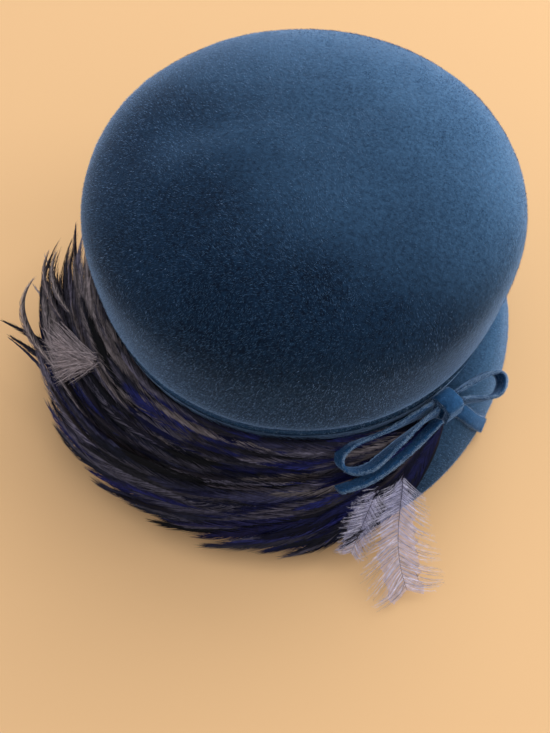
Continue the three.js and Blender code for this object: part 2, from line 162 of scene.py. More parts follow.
def meshFromArrays(name, points, faces, tint, normals=None):
    mesh = bpy.data.meshes.new(name)
    points[:, 2] = np.maximum(points[:, 2], floorClearance)
    mesh.from_pydata(points.tolist(), [], faces.tolist())
    layer = mesh.color_attributes.new("tint", "FLOAT_COLOR", "POINT")
    layer.data.foreach_set("color", np.column_stack([tint, np.ones(len(tint))]).ravel())
    mesh.polygons.foreach_set("use_smooth", np.ones(len(mesh.polygons), bool))
    if normals is not None:
        mesh.normals_split_custom_set_from_vertices(normals.tolist())
    return mesh


# How far single fibres stray from their nap: the lean in radians, the rest as shares
fibreStray = {"lean": 0.16, "length": (0.6, 1.35), "width": (0.7, 1.3), "turn": 0.7, "fineSwirl": 0.22, "fineShare": 0.4}
# own is a fibre's random tone; paintedSheen is how much painted sheen it takes
fibreTint = {"own": 0.75, "paintedSheen": 0.55}
fibreRoot = 0.1 * mm  # how deep a fibre starts in the felt


# Nap: short fibres that lean along a wandering direction, one slim triangle each. Real ones are about 0.02 mm
# wide, which wouldn't show, so they are drawn several times wider and far fewer
def napOn(piece, name, material, nap, keep):
    rng = np.random.default_rng(nap["seed"])
    points, corners, normals = evaluatedTriangles(piece)
    a, b, c = (points[corners[:, i]] for i in range(3))
    faceNormal = np.cross(b - a, c - a)
    area = np.linalg.norm(faceNormal, axis=1) / 2
    area *= keep((a + b + c) / 3, unit(faceNormal))
    count = int(nap["count"] * (1))
    pick = rng.choice(len(area), count, p=area / area.sum())
    u, v = np.sqrt(rng.random((count, 1))), rng.random((count, 1))
    weights = np.concatenate([1 - u, u * (1 - v), u * v], 1)
    root = sum(weights[:, i:i + 1] * points[corners[pick, i]] for i in range(3))
    up = unit(sum(weights[:, i:i + 1] * normals[corners[pick, i]] for i in range(3)))
    swirl = np.array([noise.noise(Vector(p) / nap["swirl"]) for p in root])
    fineSwirl = nap["swirl"] * fibreStray["fineSwirl"]
    swirl += fibreStray["fineShare"] * np.array([noise.noise(Vector(p) / fineSwirl) for p in root])
    angle = nap["heading"] + nap["wander"] * swirl + rng.normal(0, nap["stray"], count)
    heading = np.column_stack([np.cos(angle), np.sin(angle), np.full(count, nap["fall"])])
    along = unit(heading - up * np.sum(heading * up, 1, keepdims=True))
    lean = rng.normal(nap["lift"], fibreStray["lean"], (count, 1))
    fibre = along * np.cos(lean) + up * np.sin(lean)
    side = np.cross(fibre, up)
    length = nap["length"] * rng.uniform(*fibreStray["length"], (count, 1))
    width = nap["width"] * rng.uniform(*fibreStray["width"], (count, 1))
    root = root - up * fibreRoot
    tip = root + fibre * length
    verts = np.stack([root - side * width / 2, root + side * width / 2, tip], 1).reshape(-1, 3)
    faces = np.arange(count * 3).reshape(-1, 3)
    # A fibre's shade is its own random tone plus painted sheen on faces towards the back right
    shade = np.repeat(fibreTint["own"] * rng.uniform(0, 1, count) + fibreTint["paintedSheen"] * paintedSheen(up), 3)
    tint = np.stack([shade, np.tile([0.0, 0.0, 1.0], count), shade], 1)  # green is 1 at the fibre's tip
    turn = fibreStray["turn"] * np.repeat(side * rng.normal(0, 1, (count, 1)), 3, 0)
    mesh = meshFromArrays(name, verts, faces, tint, unit(np.repeat(up, 3, 0) + turn))
    return newPiece(name, mesh, material)


# Velour's own tufts are finer than 0.5 mm: they are drawn at 1.6 mm so that they show
velour = {"cloud": 38 * mm, "tuft": 1.6 * mm, "tuftDepth": 0.6 * mm, "rampFrom": 0.38, "rampTo": 0.64}
napSheen = {"Sheen Weight": 1.0, "Sheen Tint": (*toLinear("a6ccfc"), 1)}
feltSurface = {"Roughness": 0.95, "Specular IOR Level": 0.1, "Sheen Roughness": 0.3, **napSheen}
fibreSurface = {"Roughness": 0.8, "Specular IOR Level": 0.2, "Sheen Roughness": 0.32, **napSheen}
fibreShade = {"own": 0.6, "tip": 0.4}


# Velour fur felt: dark where it faces the eye, pale and silky where light grazes the nap, with a paler copy of its
# tones mixed in as painted sheen on faces towards the back right
def velourFelt(name, tones, mottle):
    material, shader = newMaterial(name, feltSurface)
    place = addNode(material, "ShaderNodeTexCoord").outputs["Object"]
    cloud = addNode(material, "ShaderNodeTexNoise", inputs={"Scale": 1 / velour["cloud"], "Detail": 3.0},
                    links={"Vector": place})
    tuft = addNode(material, "ShaderNodeTexNoise", inputs={"Scale": 1 / velour["tuft"], "Detail": 3.0, "Roughness": 0.7},
                   links={"Vector": place})
    blend = addNode(material, "ShaderNodeMix", {"data_type": "FLOAT"}, {"Factor": mottle},
                    {"A": cloud.outputs["Fac"], "B": tuft.outputs["Fac"]})
    # Painted sheen: the soft and bright tones are mixed over deep and pale where the painted_sheen attribute is high
    painted_sheen = addNode(material, "ShaderNodeAttribute", {"attribute_name": "painted_sheen"})
    facing, paintedLitTone = (
        addNode(material, "ShaderNodeValToRGB", links={"Fac": blend.outputs["Result"]},
                stops=[(velour["rampFrom"], tones[low]), (velour["rampTo"], tones[high])]).outputs["Color"]
        for low, high in (("deep", "pale"), ("soft", "bright")))
    # A colour mix has its factor at input 0, its colours at 6 and 7 and its result at output 2
    colour = addNode(material, "ShaderNodeMix", {"data_type": "RGBA"}, links={0: painted_sheen.outputs["Fac"], 6: facing, 7: paintedLitTone})
    plug(material, colour.outputs[2], shader.inputs["Base Color"])
    bump = addNode(material, "ShaderNodeBump", inputs={"Strength": 0.55, "Distance": velour["tuftDepth"]},
                   links={"Height": tuft.outputs["Fac"]})
    plug(material, bump.outputs["Normal"], shader.inputs["Normal"])
    return material


# Fibres of the nap: each a little lighter or darker, paler towards its tip, and paler still under painted sheen on
# faces towards the back right
def napFibre(name, deep, pale):
    material, shader = newMaterial(name, fibreSurface)
    tint = addNode(material, "ShaderNodeAttribute", {"attribute_name": "tint"})
    parts = addNode(material, "ShaderNodeSeparateColor", links={"Color": tint.outputs["Color"]})
    tip = addNode(material, "ShaderNodeMath", {"operation": "MULTIPLY"}, {1: fibreShade["tip"]},
                  {0: parts.outputs["Green"]})
    level = addNode(material, "ShaderNodeMath", {"operation": "MULTIPLY_ADD"}, {1: fibreShade["own"]},
                    {0: parts.outputs["Red"], 2: tip.outputs[0]})
    tone = addNode(material, "ShaderNodeValToRGB", links={"Fac": level.outputs[0]}, stops=[(0.0, deep), (1.0, pale)])
    plug(material, tone.outputs["Color"], shader.inputs["Base Color"])
    return material


# In both tone sets, soft and bright are a paler copy of deep and pale, used as painted sheen
feltTones = {"deep": "051324", "pale": "142d46", "soft": "3c6287", "bright": "557fa6"}
feltMaterial = velourFelt("velour fur felt", feltTones, 0.72)
stripTones = {"deep": "12304e", "pale": "244d77", "soft": "2a547f", "bright": "3b6a98"}
stripMaterial = velourFelt("raw-edged felt strip", stripTones, 0.65)
fibreMaterial = napFibre("velour nap fibre", "061326", "4f779f")
# Raw edge fuzz: fibres of the cut edge, painted pale as a highlight along the edge
edgeFuzzHighlight = napFibre("raw edge fuzz", "54799f", "b4cde6")
stripFibre = napFibre("felt strip fibre", "12304e", "3d6b9c")
print("stage: felt materials made")


# Camera at the photo's place, its eye in millimetres and its vertical view in degrees
cameraPlace = {"eye": (35.5, -239.8, 324.7), "forward": (-0.1037, 0.5139, -0.8516), "right": (0.9802, 0.1979, 0.0),
               "tall": 52.0}
camera = bpy.data.objects.new("camera", bpy.data.cameras.new("camera"))
scene.collection.objects.link(camera)
forward = Vector(cameraPlace["forward"]).normalized()
right = Vector(cameraPlace["right"]).normalized()
upward = right.cross(forward)
facing = Matrix((right, upward, -forward)).transposed().to_4x4()
camera.matrix_world = Matrix.Translation(Vector(cameraPlace["eye"]) * mm) @ facing
camera.data.sensor_fit = "VERTICAL"
camera.data.angle = math.radians(cameraPlace["tall"])
camera.data.clip_start = 10 * mm
scene.camera = camera


# Crown and brim; the crown swells outwards to make up for what the subdivision takes off
crownFelt = {"levels": 2, "unevenness": 0.5 * mm, "grain": 34 * mm, "swell": 1.3 * mm, "crease": 0.0, "puff": 0.0}
brimFelt = {"levels": 2, "unevenness": 0.4 * mm, "grain": 30 * mm, "swell": 0.0, "crease": 0.0, "puff": 0.0}
crownNap = {"seed": 11, "count": 140000, "length": 1.0 * mm, "width": 0.24 * mm, "swirl": 30 * mm, "heading": 3.6,
            "wander": 2.2, "stray": 0.35, "fall": -0.5, "lift": 0.75, "above": 29 * mm}
brimNap = {"seed": 12, "count": 70000, "length": 1.0 * mm, "width": 0.24 * mm, "swirl": 24 * mm, "heading": 0.2,
           "wander": 1.6, "stray": 0.35, "fall": -0.4, "lift": 0.75, "beyond": 94 * mm, "upTo": -0.2, "outTo": -10 * mm}


def crownOutside(place, normal):
    return (np.sum((place - np.array(crownMiddle)) * normal, 1) > 0) & (place[:, 2] > crownNap["above"])


def brimOutside(place, normal):
    reach = np.hypot(place[:, 0], place[:, 1])
    outward = normal[:, 0] * place[:, 0] + normal[:, 1] * place[:, 1]
    return (normal[:, 2] > brimNap["upTo"]) & (reach > brimNap["beyond"]) & (outward > brimNap["outTo"])


crown = smoothFromNode("crown", "crown_felt", feltMaterial, crownFelt)
brim = smoothFromNode("brim", "brim_felt", feltMaterial, brimFelt)
napOn(crown, "crown_nap", fibreMaterial, crownNap, crownOutside)
napOn(brim, "brim_nap", fibreMaterial, brimNap, brimOutside)
print("stage: crown and brim made")


# Band and bow, with the fuzz of their cut edges, its pale tone partly the felt's own fibres and partly a painted
# highlight along the edges; the knot is drawn tight and plump over the loops
stripFelt = {"levels": 2, "unevenness": 0.15 * mm, "grain": 6 * mm, "swell": 0.0, "crease": 0.85, "puff": 0.0}
knotFelt = dict(stripFelt, crease=0.6, puff=0.7 * mm)
stripNap = {"length": 0.8 * mm, "width": 0.14 * mm, "swirl": 10 * mm, "heading": 0.0, "wander": 5.0, "stray": 1.2,
            "fall": 0.2, "lift": 0.7}
edgeNap = dict(stripNap, length=0.9 * mm, width=0.15 * mm, lift=0.9)
stripFibres = {"band": 9000, "bow_knot": 2500, "bow_loop_left": 9000, "bow_loop_right": 6000, "bow_tail_left": 4500,
               "bow_tail_right": 3000}
stripSeeds = {"nap": 30, "edge": 50}
cutEdge = {"skin": 0.05 * mm, "depth": 3.2 * mm, "elsewhere": 1e-6}


# A strip's cut edge is where the felt is deep behind the surface
def cutEdges(piece):
    points, corners, _ = evaluatedTriangles(piece)
    tree = BVHTree.FromPolygons(points.tolist(), corners.tolist())

    def isEdge(place, normal):
        depths = [tree.ray_cast(Vector(p - n * cutEdge["skin"]), Vector(-n))[3] for p, n in zip(place, normal)]
        deep = [1.0 if depth and depth > cutEdge["depth"] else 0.0 for depth in depths]
        return np.array(deep) + cutEdge["elsewhere"]

    return isEdge


def everywhere(place, normal):
    return np.ones(len(place))


for index, (node, count) in enumerate(stripFibres.items()):
    # The band takes the darker hat felt rather than the strip felt: painted shade, as it lies in the shadow under the
    # crown's edge
    cloth, hair = (feltMaterial, fibreMaterial) if node == "band" else (stripMaterial, stripFibre)
    strip = smoothFromNode(node, node + "_felt", cloth, knotFelt if node == "bow_knot" else stripFelt)
    nap = dict(stripNap, seed=stripSeeds["nap"] + index, count=count)
    napOn(strip, node + "_nap", hair, nap, everywhere)
    fuzz = dict(edgeNap, seed=stripSeeds["edge"] + index, count=count)
    napOn(strip, node + "_edge", edgeFuzzHighlight, fuzz, cutEdges(strip))
print("stage: band and bow made")


# Feathers lie over the bed that the CAD pad fills. From here to the down feathers lengths are in millimetres and
# turns are degrees round the hat from +X
bedTable = {
    "turn": [-180, -162, -145, -125, -100, -76, -60, -44],
    "inner": [99.5, 99.5, 100.0, 100.0, 100.0, 100.0, 100.5, 101.0],
    "innerHeight": [47.0, 42.0, 36.0, 31.0, 29.4, 28.4, 27.4, 27.0],
    "outer": [110, 127, 134, 141, 142, 140, 131, 112],
    "outerHeight": [44, 33, 20, 12, 7.6, 7.6, 13, 22],
    "bulge": 3.0,
}


def polarPoint(turn, reach, height):
    angle = np.radians(turn)
    return np.stack([reach * np.cos(angle), reach * np.sin(angle), height], -1)


def bedPoint(turn, across):
    inner, innerHeight, outer, outerHeight = (
        np.interp(turn, bedTable["turn"], bedTable[key]) for key in ("inner", "innerHeight", "outer", "outerHeight"))
    reach = inner + (outer - inner) * across
    height = innerHeight + (outerHeight - innerHeight) * across
    height = height + bedTable["bulge"] * np.sin(np.pi * np.clip(across, 0, 1))
    return polarPoint(turn, reach, height)


class FeatherHeap:
    def __init__(self):
        self.points, self.faces, self.tints, self.size = [], [], [], 0

    def add(self, points, faces, tints):
        self.points.append(points)
        self.faces.append(faces + self.size)
        self.tints.append(tints)
        self.size += len(points)

    def mesh(self, name):
        faces = np.concatenate(self.faces)
        return meshFromArrays(name, np.concatenate(self.points) * mm, faces, np.concatenate(self.tints))


def gridFaces(rows, columns):
    i, j = np.meshgrid(np.arange(rows - 1), np.arange(columns - 1), indexing="ij")
    a = (i * columns + j).ravel()
    first = np.stack([a, a + columns, a + 1], 1)
    second = np.stack([a + 1, a + columns, a + columns + 1], 1)
    return np.concatenate([first, second])


def readAlong(share, values, where):
    return np.stack([np.interp(where, share, values[:, k]) for k in range(3)], 1)


def pathLength(path):
    return np.linalg.norm(np.diff(path, axis=0), axis=1).sum()


faceUp = 1.2  # how much a feather's flat side looks up rather than out from the hat


def featherAxes(path):
    tangent = unit(np.gradient(path, axis=0))
    across = unit(np.cross(tangent, unit(path * [1, 1, 0]) + [0, 0, faceUp]))
    return tangent, across, unit(np.cross(across, tangent))


shaftRidge = 1.6  # how high a shaft stands, against half its width


# A shaft is a ridge of three edges that thins towards its tip
def addShaft(heap, path, across, normal, thick, tones):
    shaft = np.stack([path - across * thick, path + normal * thick * shaftRidge, path + across * thick], 1)
    heap.add(shaft.reshape(-1, 3), gridFaces(len(path), 3), np.repeat(tones[:, None], 3, 1).reshape(-1, 3))


hackleMake = {"rootWidth": 0.03, "widestNear": 0.75, "blunt": 0.8, "columns": (-0.85, -0.4, 0, 0.4, 0.85), "camber": 0.5,
              "vaneGapShade": 0.4, "shaftTone": 0.6, "shaftTaper": 0.8}
# Real barbs are finer than 0.05 mm and stand in hundreds: they are drawn wider and fewer, so that they show
barbMake = {"from": 0.02, "to": 0.97, "stagger": 0.004, "reach": (0.75, 1.2), "ahead": (0.8, 1.2), "leastAhead": 0.5,
            "open": 0.85, "stand": 0.25, "arch": 0.5, "droop": 0.55, "stray": 0.18, "taper": 0.8, "paleShare": 0.85,
            "darkShare": 0.12, "tone": (0.55, 1.45)}


# One hackle: a shaft, a thin cambered vane darkened as painted shade in the gaps between the barbs, and free barbs that
# leave the shaft towards the tip
def addHackle(heap, rng, path, shape, colours):
    steps = len(path)
    share = np.linspace(0, 1, steps)
    tangent, across, normal = featherAxes(path)
    across = across * np.cos(shape["roll"]) + normal * np.sin(shape["roll"])
    normal = unit(np.cross(across, tangent))
    filled = np.clip(share * (1 - hackleMake["rootWidth"]) + hackleMake["rootWidth"], 0, 1) ** hackleMake["widestNear"]
    half = shape["width"] / 2 * np.sin(np.pi * filled) ** hackleMake["blunt"]
    tone = (colours["root"][None] * (1 - share[:, None]) + colours["tip"][None] * share[:, None])

    columns = np.array(hackleMake["columns"])
    vane = path[:, None] + across[:, None] * (half[:, None] * columns)[..., None]
    vane = vane - normal[:, None] * (half[:, None] * columns ** 2 * hackleMake["camber"])[..., None]
    # Painted shade: the vane is darker than the barbs so the gaps between them read as shadow
    vaneGapShade = np.repeat((tone * hackleMake["vaneGapShade"])[:, None], len(columns), 1)
    heap.add(vane.reshape(-1, 3), gridFaces(steps, len(columns)), vaneGapShade.reshape(-1, 3))
    thick = shape["shaft"] * (1 - hackleMake["shaftTaper"] * share[:, None])
    addShaft(heap, path, across, normal, thick, tone * hackleMake["shaftTone"])

    barbs = shape["barbs"]
    for hand in (-1, 1):
        start = np.linspace(barbMake["from"], barbMake["to"], barbs) + rng.normal(0, barbMake["stagger"], barbs)
        reach = np.interp(start, share, half) * rng.uniform(*barbMake["reach"], barbs)
        ahead = shape["sweep"] * (barbMake["leastAhead"] + reach / shape["width"]) * rng.uniform(*barbMake["ahead"], barbs)
        rows = []
        for part in (0.0, 0.5, 1.0):
            where = start + ahead * part
            inside = np.clip(where, 0, 1)
            centre, lead, side, rise = (readAlong(share, v, inside) for v in (path, tangent, across, normal))
            centre = centre + lead * (np.maximum(where - 1, 0) * shape["length"])[:, None]
            spread = reach * part ** barbMake["open"] * hand
            lift = barbMake["stand"] + barbMake["arch"] * math.sin(math.pi * part) - barbMake["droop"] * part
            lift = lift + rng.normal(0, barbMake["stray"], barbs) * part
            rows.append(centre + side * spread[:, None] + rise * lift[:, None])
        startInside = np.clip(start, 0, 1)
        flat = unit(np.cross(unit(rows[2] - rows[0]), readAlong(share, normal, startInside)))
        wide = flat * shape["barbWidth"] / 2
        narrow = wide * barbMake["taper"]
        points = np.stack([rows[0] - wide, rows[0] + wide, rows[1] - narrow, rows[1] + narrow, rows[2]], 1)
        faces = np.array([[0, 1, 2], [1, 3, 2], [2, 3, 4]])[None] + 5 * np.arange(barbs)[:, None, None]
        pale = barbMake["paleShare"] if hand == shape["paleSide"] else barbMake["darkShare"]
        barbTone = readAlong(share, tone, startInside) * (1 - pale) + colours["edge"] * pale
        barbTone = barbTone * rng.uniform(*barbMake["tone"], (barbs, 1))
        heap.add(points.reshape(-1, 3), faces.reshape(-1, 3), np.repeat(barbTone[:, None], 5, 1).reshape(-1, 3))


hackleColours = {key: np.array(toLinear(code)) for key, code in {
    "navy": "171b4c", "night": "0f1120", "slate": "2b2c44", "mauve": "6d6879", "taupe": "887e80", "dove": "a89c9a"}.items()}
courses = [
    {"root": -47, "sweep": 21, "grey": 0.08, "navy": 0.85},
    {"root": -54, "sweep": 23, "grey": 0.1, "navy": 0.85},
    {"root": -63, "sweep": 23, "grey": 0.16, "navy": 0.75},
    {"root": -72, "sweep": 24, "grey": 0.2, "navy": 0.6},
    {"root": -81, "sweep": 24, "grey": 0.2, "navy": 0.45},
    {"root": -90, "sweep": 25, "grey": 0.18, "navy": 0.35},
    {"root": -99, "sweep": 26, "grey": 0.2, "navy": 0.28},
    {"root": -108, "sweep": 28, "grey": 0.3, "navy": 0.22},
    {"root": -117, "sweep": 31, "grey": 0.5, "navy": 0.2},
    {"root": -125, "sweep": 37, "grey": 0.7, "navy": 0.2},
]
# How a course is laid across the bed, from the crown (0) to the brim's edge (1)
lay = {"seed": 5, "count": 22, "points": 22, "rootAcross": (0.04, 0.78), "tipAcross": (0.0, 1.05), "fan": 1.2,
       "placeStray": (-0.4, 0.4), "turnStray": (-6, 4), "sweepStray": (0.85, 1.15), "stand": (0.3, 1.6),
       "tilt": (0.5, 2.4), "tiltPivot": 0.4, "width": 6.4, "widthStray": (0.8, 1.25), "rollStray": 0.3}
# Feathers near the crown stand up more towards the left
standing = {"fromTurn": 90, "overTurn": 34, "across": 2.2, "roll": 0.7}
greyShare = {"innerPart": 0.45, "inner": 1.5, "outer": 0.35}
hackleShape = {"shaft": 0.2, "barbs": 52, "barbWidth": 0.36, "sweep": 0.26}
spikeShape = {"roll": 0.1, "shaft": 0.25, "barbs": 46, "barbWidth": 0.4, "sweep": 0.14, "paleSide": 1}
spikes = [
    {"root": (-127, 0.55), "tip": (-156.4, 148, 24), "tone": "night", "width": 5.0},
    {"root": (-125, 0.66), "tip": (-153.5, 146, 21), "tone": "night", "width": 5.0},
    {"root": (-133, 0.45), "tip": (-161.5, 131, 32), "tone": "dove", "width": 4.0},
    {"root": (-136, 0.38), "tip": (-168.0, 126, 36), "tone": "dove", "width": 4.0},
    {"root": (-140, 0.2), "tip": (-176.5, 113, 42), "tone": "slate", "width": 5.0},
    {"root": (-134, 0.9), "tip": (-153.8, 147, 18), "tone": "slate", "width": 1.8},
    {"root": (-141, 0.8), "middle": (-153.0, 137, 33), "tip": (-160.5, 129, 41), "tone": "dove", "width": 5.5},
    {"root": (-147, 0.5), "middle": (-158.0, 124, 40), "tip": (-166.8, 122, 44), "tone": "taupe", "width": 4.0},
    {"root": (-149, 0.4), "middle": (-158.0, 120, 41), "tip": (-166.0, 118, 45), "tone": "dove", "width": 4.0},
]
spikeBow = 0.12  # how far across the bed a spike bows out where no middle is given
dyeing = {"grey": (0.4, 1.15), "greyTip": (0.4, 0.9), "dark": (0.2, 0.65, 1.5), "darkTip": (0.4, 1.0),
          "paleEdge": (0.15, 0.6), "edged": 0.75, "edgedLessNavy": 0.5}


# Most feathers are navy to black, often with one mauve side; a share, more at the left and the crown, are grey
def featherColours(rng, grey, navy):
    if rng.random() < grey:
        tone = hackleColours[rng.choice(["mauve", "taupe"], p=[0.5, 0.5])] * rng.uniform(*dyeing["grey"])
        return {"root": tone, "tip": tone * rng.uniform(*dyeing["greyTip"]), "edge": tone}
    key = "navy" if rng.random() < navy else rng.choice(["night", "slate"])
    tone = hackleColours[key] * rng.choice(dyeing["dark"])
    edge = tone
    if rng.random() < dyeing["edged"] - dyeing["edgedLessNavy"] * navy:
        edge = hackleColours["mauve"] * rng.uniform(*dyeing["paleEdge"])
    return {"root": tone, "tip": tone * rng.uniform(*dyeing["darkTip"]), "edge": edge}


heap = FeatherHeap()
rng = np.random.default_rng(lay["seed"])
share = np.linspace(0, 1, lay["points"])
for row in courses:
    for index in range(lay["count"]):
        place = (index + rng.uniform(*lay["placeStray"])) / (lay["count"] - 1)
        turn = row["root"] + rng.uniform(*lay["turnStray"]) - row["sweep"] * share * rng.uniform(*lay["sweepStray"])
        fromAcross = np.interp(place, (0, 1), lay["rootAcross"])
        toAcross = np.interp(place, (0, 1), lay["tipAcross"])
        path = bedPoint(turn, fromAcross + (toAcross - fromAcross) * share ** lay["fan"])
        path[:, 2] += rng.uniform(*lay["stand"]) + rng.uniform(*lay["tilt"]) * (share - lay["tiltPivot"])
        upright = np.clip((-row["root"] - standing["fromTurn"]) / standing["overTurn"], 0, 1)
        upright = upright * np.clip(1 - place * standing["across"], 0, 1)
        shape = dict(hackleShape, length=pathLength(path), width=lay["width"] * rng.uniform(*lay["widthStray"]),
                     roll=rng.normal(0, lay["rollStray"]) - standing["roll"] * upright, paleSide=rng.choice([-1, 1]))
        grey = row["grey"] * (greyShare["inner"] if place < greyShare["innerPart"] else greyShare["outer"])
        addHackle(heap, rng, path, shape, featherColours(rng, grey, row["navy"]))

# Each spike curves through its middle
for spike in spikes:
    turn, across = spike["root"]
    start, end = bedPoint(turn, across), polarPoint(*spike["tip"])
    middle = bedPoint((turn + spike["tip"][0]) / 2, across + spikeBow)
    if "middle" in spike:
        middle = polarPoint(*spike["middle"])
    t = share[:, None]
    path = start * (1 - t) ** 2 + (4 * middle - start - end) * t * (1 - t) + end * t ** 2
    shape = dict(spikeShape, width=spike["width"], length=pathLength(path))
    tone = hackleColours[spike["tone"]]
    addHackle(heap, rng, path, shape, {"root": hackleColours["slate"], "tip": tone, "edge": tone})

# A downy grey tuft at the left, where the feathers' soft roots show
tuft = {"root": (-137.0, 114.0, 32.5), "tips": [(-149.0, 122.0, 37.0), (-145.5, 128.0, 35.5), (-140.5, 131.0, 33.0),
                                                (-136.5, 130.0, 30.0)],
        "strands": 560, "points": 7, "grow": (0.4, 1.1), "wobble": (0.8, 0.9, 0.8), "wobbleTurn": 2.4, "arch": 1.4,
        "archTurn": 3, "scatter": 1.7, "halfWidth": 0.16, "taper": 0.8, "flatTo": (0.1, -0.5, 0.85), "tone": (0.9, 2.5)}
tipColumns = np.array(tuft["tips"]).T
for _ in range(tuft["strands"]):
    lane = rng.uniform(0, len(tuft["tips"]) - 1)
    tipAt = [np.interp(lane, range(len(column)), column) for column in tipColumns]
    t = np.linspace(0, 1, tuft["points"])
    grow = rng.uniform(*tuft["grow"])
    turn, reach, height = (a + (b - a) * t * grow + rng.normal(0, wobble) * np.sin(tuft["wobbleTurn"] * t)
                           for a, b, wobble in zip(tuft["root"], tipAt, tuft["wobble"]))
    line = polarPoint(turn, reach, height + tuft["arch"] * np.sin(tuft["archTurn"] * t))
    line = line + rng.normal(0, tuft["scatter"], 3)
    flat = unit(np.cross(np.gradient(line, axis=0), tuft["flatTo"]))
    flat = flat * (tuft["halfWidth"] * (1 - tuft["taper"] * t))[:, None]
    ribbon = np.stack([line - flat, line + flat], 1).reshape(-1, 3)
    tone = hackleColours["taupe"] * rng.uniform(*tuft["tone"])
    heap.add(ribbon, gridFaces(tuft["points"], 2), np.repeat(tone[None], len(ribbon), 0))


fleck = {"size": 2.4 * mm, "from": 0.3, "to": 0.7, "darker": 0.7, "lighter": 1.3}
featherSheen = {"Specular IOR Level": 0.1, "Sheen Weight": 0.03, "Sheen Roughness": 0.3,
                "Sheen Tint": (*toLinear("b8b6d6"), 1)}


# Dyed cock hackle: dark silky barbs, unevenly dyed, that catch a thin highlight along the feather
def featherMaterial(name, roughness, gain, clear=0.0):
    material, shader = newMaterial(name, dict(featherSheen, Roughness=roughness, Alpha=1.0 - clear))
    tint = addNode(material, "ShaderNodeAttribute", {"attribute_name": "tint"})
    place = addNode(material, "ShaderNodeTexCoord").outputs["Object"]
    spots = addNode(material, "ShaderNodeTexNoise", inputs={"Scale": 1 / fleck["size"], "Detail": 2.0},
                    links={"Vector": place})
    level = addNode(material, "ShaderNodeMapRange",
                    inputs={"From Min": fleck["from"], "From Max": fleck["to"], "To Min": fleck["darker"] * gain,
                            "To Max": fleck["lighter"] * gain}, links={"Value": spots.outputs["Fac"]})
    shaded = addNode(material, "ShaderNodeVectorMath", {"operation": "SCALE"},
                     links={0: tint.outputs["Color"], "Scale": level.outputs["Result"]})
    plug(material, shaded.outputs["Vector"], shader.inputs["Base Color"])
    return material


darkHackle = featherMaterial("dyed cock hackle", 0.42, 0.8)
hackles = newPiece("hackle_feathers", heap.mesh("hackle_feathers"), darkHackle)
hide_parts("feather_pad")
print("stage: hackles made", len(hackles.data.polygons))


# Down feathers: a dark shaft and long wispy barbs with fine side hairs
downFeathers = {
    "down_feather_long": {"route": [(-57.5, 118.0, 22.9), (-60.2, 130.0, 18.3), (-62.6, 144.0, 11.8), (-63.2, 162.0, 4.8)],
                          "width": (9.0, 15.0, 17.0, 14.0), "barbs": 110, "film": 0.55, "seed": 3},
    "down_feather_short": {"route": [(-63.4, 121.0, 23.1), (-67.2, 131.0, 16.8), (-70.6, 142.5, 7.9)],
                           "width": (6.0, 8.0, 8.0, 6.0), "barbs": 70, "film": 0.7, "seed": 4},
}
downTone = {"barb": np.array(toLinear("bfbdd2")), "film": np.array(toLinear("a6a5c4")),
            "shaft": np.array(toLinear("2f2a3c"))}
downMake = {"points": 30, "shaft": 0.3, "shaftTaper": 0.7, "shaftLift": 0.8}
downFilm = {"columns": 9, "rootShare": 0.15, "opens": 3.4, "ragged": (0.75, 1.1), "ahead": 0.5, "ripple": 0.25,
            "rippleAcross": 4, "rippleAlong": 5}
downBarb = {"points": 8, "from": 0.04, "span": 0.94, "stagger": 0.006, "reach": (0.7, 1.15), "ahead": (0.16, 0.28),
            "slowing": 0.3, "wave": 0.5, "waveTurn": (2, 5), "waveStart": (0, 6), "beyondTip": 0.55, "open": 0.9,
            "curl": (0.2, 0.6), "halfWidth": 0.13, "taper": 0.8, "tones": (0.45, 0.8, 1.0, 1.25)}
downHair = {"count": 14, "from": 0.1, "ahead": 0.8, "aside": 0.5, "length": (0.8, 1.8), "halfWidth": 0.04}
# Down lets the table through: its barbs a little, the film of fine hairs between them much more
paleDown = featherMaterial("marabou down", 0.75, 1.0, 0.35)
clearDown = featherMaterial("sheer marabou vane", 0.7, 1.0, 0.62)


def smoothRoute(rows, steps):
    knots = polarPoint(*np.array(rows, float).T)
    where = np.linspace(0, 1, len(rows))
    fit = [np.polyfit(where, knots[:, k], min(3, len(rows) - 1)) for k in range(3)]
    t = np.linspace(0, 1, steps)
    return np.stack([np.polyval(fit[k], t) for k in range(3)], 1)


